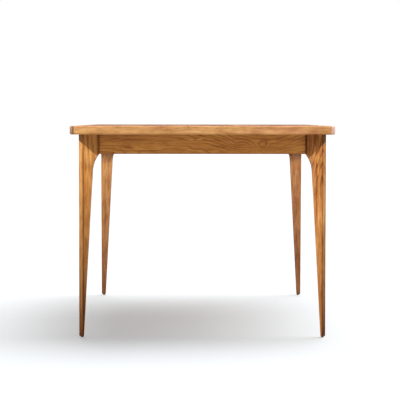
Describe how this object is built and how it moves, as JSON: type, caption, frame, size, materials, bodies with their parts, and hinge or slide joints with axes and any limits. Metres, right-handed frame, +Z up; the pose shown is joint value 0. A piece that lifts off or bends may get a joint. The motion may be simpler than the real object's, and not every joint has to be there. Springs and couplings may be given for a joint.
{
  "type": "extending dining table",
  "caption": "Rectangular wooden dining table with tapered legs. Its halved top slides apart on geared runners, over a folding leaf stored in the frame.",
  "frame": {"origin": "on the floor, under the middle of the closed table", "axes": "+X across the table, +Y along it towards the back half of the top, +Z up"},
  "size_m": [0.944, 1.5, 0.76],
  "materials": {
    "top_wood": "satin lacquered veneer",
    "lipping_wood": "satin lacquered solid wood",
    "leg_wood": "satin lacquered solid wood",
    "apron_wood": "satin lacquered solid wood",
    "frame_wood": "planed, unfinished",
    "slide_wood": "planed, waxed",
    "tongue_wood": "planed, unfinished",
    "pinion_plastic": "moulded",
    "glide_plastic": "moulded",
    "rubber": "matt",
    "brass": "brushed",
    "steel": "zinc plated",
    "lock_steel": "zinc plated"
  },
  "bodies": {
    "top_back": {"batten_screws_back": "steel", "end_lipping_back": "lipping_wood", "lock_keepers": "lock_steel", "runner_back_left": "slide_wood", "runner_back_right": "slide_wood", "runner_screws_back": "steel", "side_lipping_back_left": "lipping_wood", "side_lipping_back_right": "lipping_wood", "top_batten_back": "frame_wood", "top_panel_back": "top_wood"},
    "top_front": {"batten_screws_front": "steel", "end_lipping_front": "lipping_wood", "lock_plates": "lock_steel", "runner_front_left": "slide_wood", "runner_front_right": "slide_wood", "runner_screws_front": "steel", "seam_tongues": "tongue_wood", "side_lipping_front_left": "lipping_wood", "side_lipping_front_right": "lipping_wood", "top_batten_front": "frame_wood", "top_panel_front": "top_wood"},
    "root": {"brace_bolts": "steel", "corner_brace_back_left": "frame_wood", "corner_brace_back_right": "frame_wood", "corner_brace_front_left": "frame_wood", "corner_brace_front_right": "frame_wood", "cross_rail_back": "frame_wood", "cross_rail_front": "frame_wood", "end_apron_back": "apron_wood", "end_apron_front": "apron_wood", "foot_glides": "glide_plastic", "leaf_hinges": "brass", "leaf_ledges": "steel", "leaf_panel_lower": "top_wood", "leaf_panel_upper": "top_wood", "leaf_pivot_arms": "steel", "leaf_pivot_brackets": "steel", "leaf_tongues": "tongue_wood", "leg_back_left": "leg_wood", "leg_back_right": "leg_wood", "leg_front_left": "leg_wood", "leg_front_right": "leg_wood", "pinion_axles": "steel", "rail_screws": "steel", "side_apron_left": "apron_wood", "side_apron_right": "apron_wood", "slide_buffers": "rubber", "slide_rail_left": "slide_wood", "slide_rail_right": "slide_wood"},
    "lock_lever_left": {"lock_lever_left": "lock_steel"},
    "lock_lever_right": {"lock_lever_right": "lock_steel"},
    "pinion_left": {"pinion_left": "pinion_plastic"},
    "pinion_right": {"pinion_right": "pinion_plastic"}
  },
  "joints": [
    {"name": "top_front_slide", "type": "slide", "parent": "root", "child": "top_front", "axis": [0, -1, 0], "range_m": [0, 0.27]},
    {"name": "top_back_slide", "type": "slide", "parent": "root", "child": "top_back", "axis": [0, 1, 0], "range_m": [0, 0.27]},
    {"name": "pinion_left_spin", "type": "hinge", "parent": "root", "child": "pinion_left", "pos_m": [-0.32, 0, 0.7095], "axis": [0, 0, 1], "range_deg": [0, 860]},
    {"name": "pinion_right_spin", "type": "hinge", "parent": "root", "child": "pinion_right", "pos_m": [0.32, 0, 0.7095], "axis": [0, 0, 1], "range_deg": [-860, 0]},
    {"name": "lock_left_turn", "type": "hinge", "parent": "top_front", "child": "lock_lever_left", "pos_m": [-0.38, -0.008, 0.725], "axis": [0, 0, -1], "range_deg": [0, 90]},
    {"name": "lock_right_turn", "type": "hinge", "parent": "top_front", "child": "lock_lever_right", "pos_m": [0.38, -0.008, 0.725], "axis": [0, 0, 1], "range_deg": [0, 90]}
  ],
  "couplings": [
    {"joint": "top_back_slide", "follows": "top_front_slide", "ratio": 1},
    {"joint": "pinion_left_spin", "follows": "top_front_slide", "rad_per_m": 55.556},
    {"joint": "pinion_right_spin", "follows": "top_front_slide", "rad_per_m": -55.556}
  ]
}
